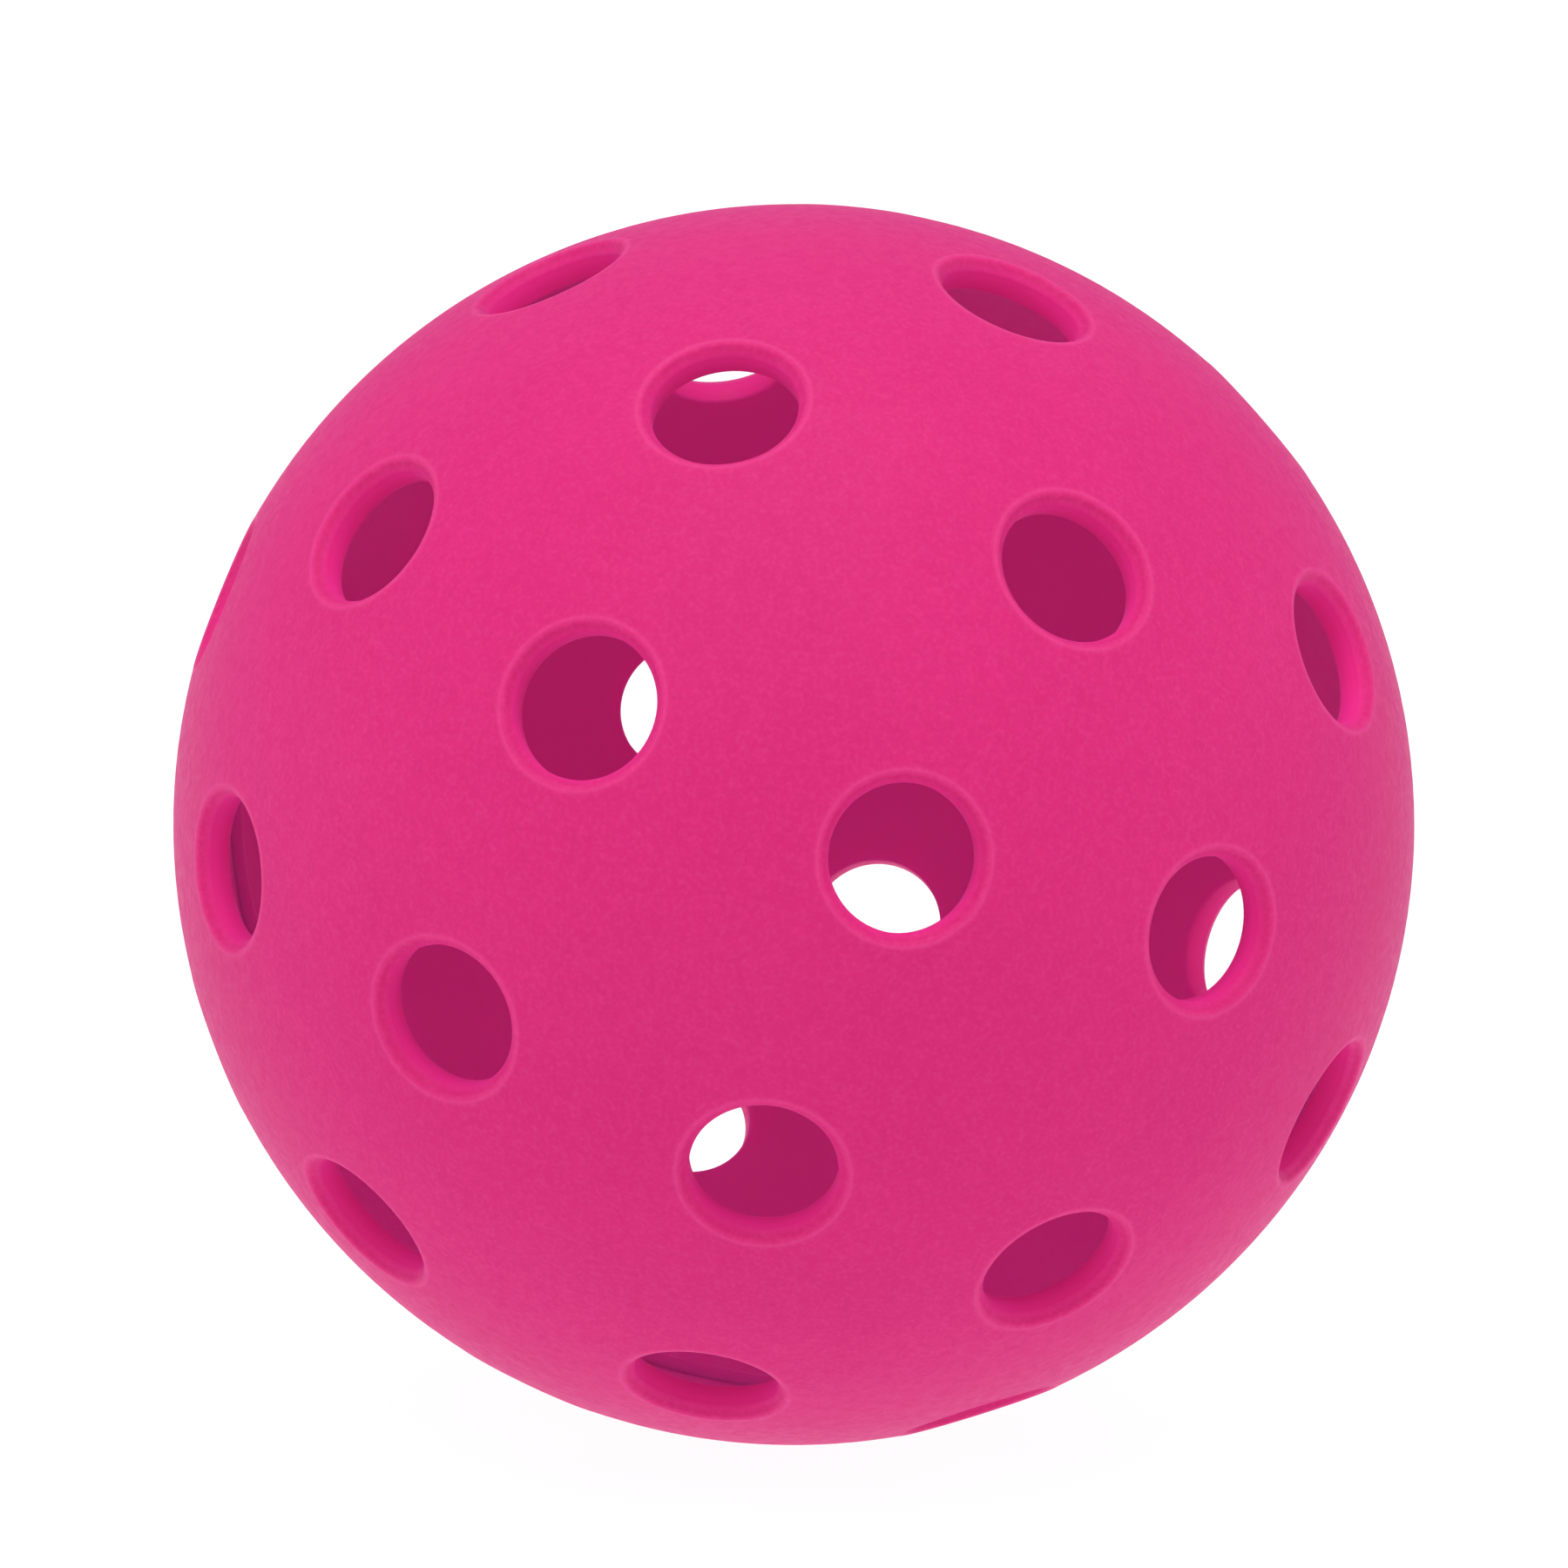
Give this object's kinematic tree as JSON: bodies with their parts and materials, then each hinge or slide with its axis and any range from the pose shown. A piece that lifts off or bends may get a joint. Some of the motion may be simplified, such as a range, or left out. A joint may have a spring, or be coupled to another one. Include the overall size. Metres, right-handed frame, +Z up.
{
  "type": "pickleball ball",
  "caption": "Hollow perforated plastic ball for a paddle game: two moulded half shells with round holes, welded at the equator.",
  "frame": {"origin": "centre of the ball", "axes": "+Z up; Y is the polar axis of both half shells, with the front half on the -Y side and the weld in the plane y = 0; +X right seen from the front"},
  "size_m": [0.074, 0.074, 0.074],
  "materials": {
    "shell_plastic": "moulded polyethylene, bright magenta pink, matt with a soft sheen",
    "weld_plastic": "remelted polyethylene of the same pink, slightly glossier and darker"
  },
  "bodies": {
    "root": {"front_half_shell": "shell_plastic", "rear_half_shell": "shell_plastic", "weld_bead": "weld_plastic"}
  },
  "joints": []
}
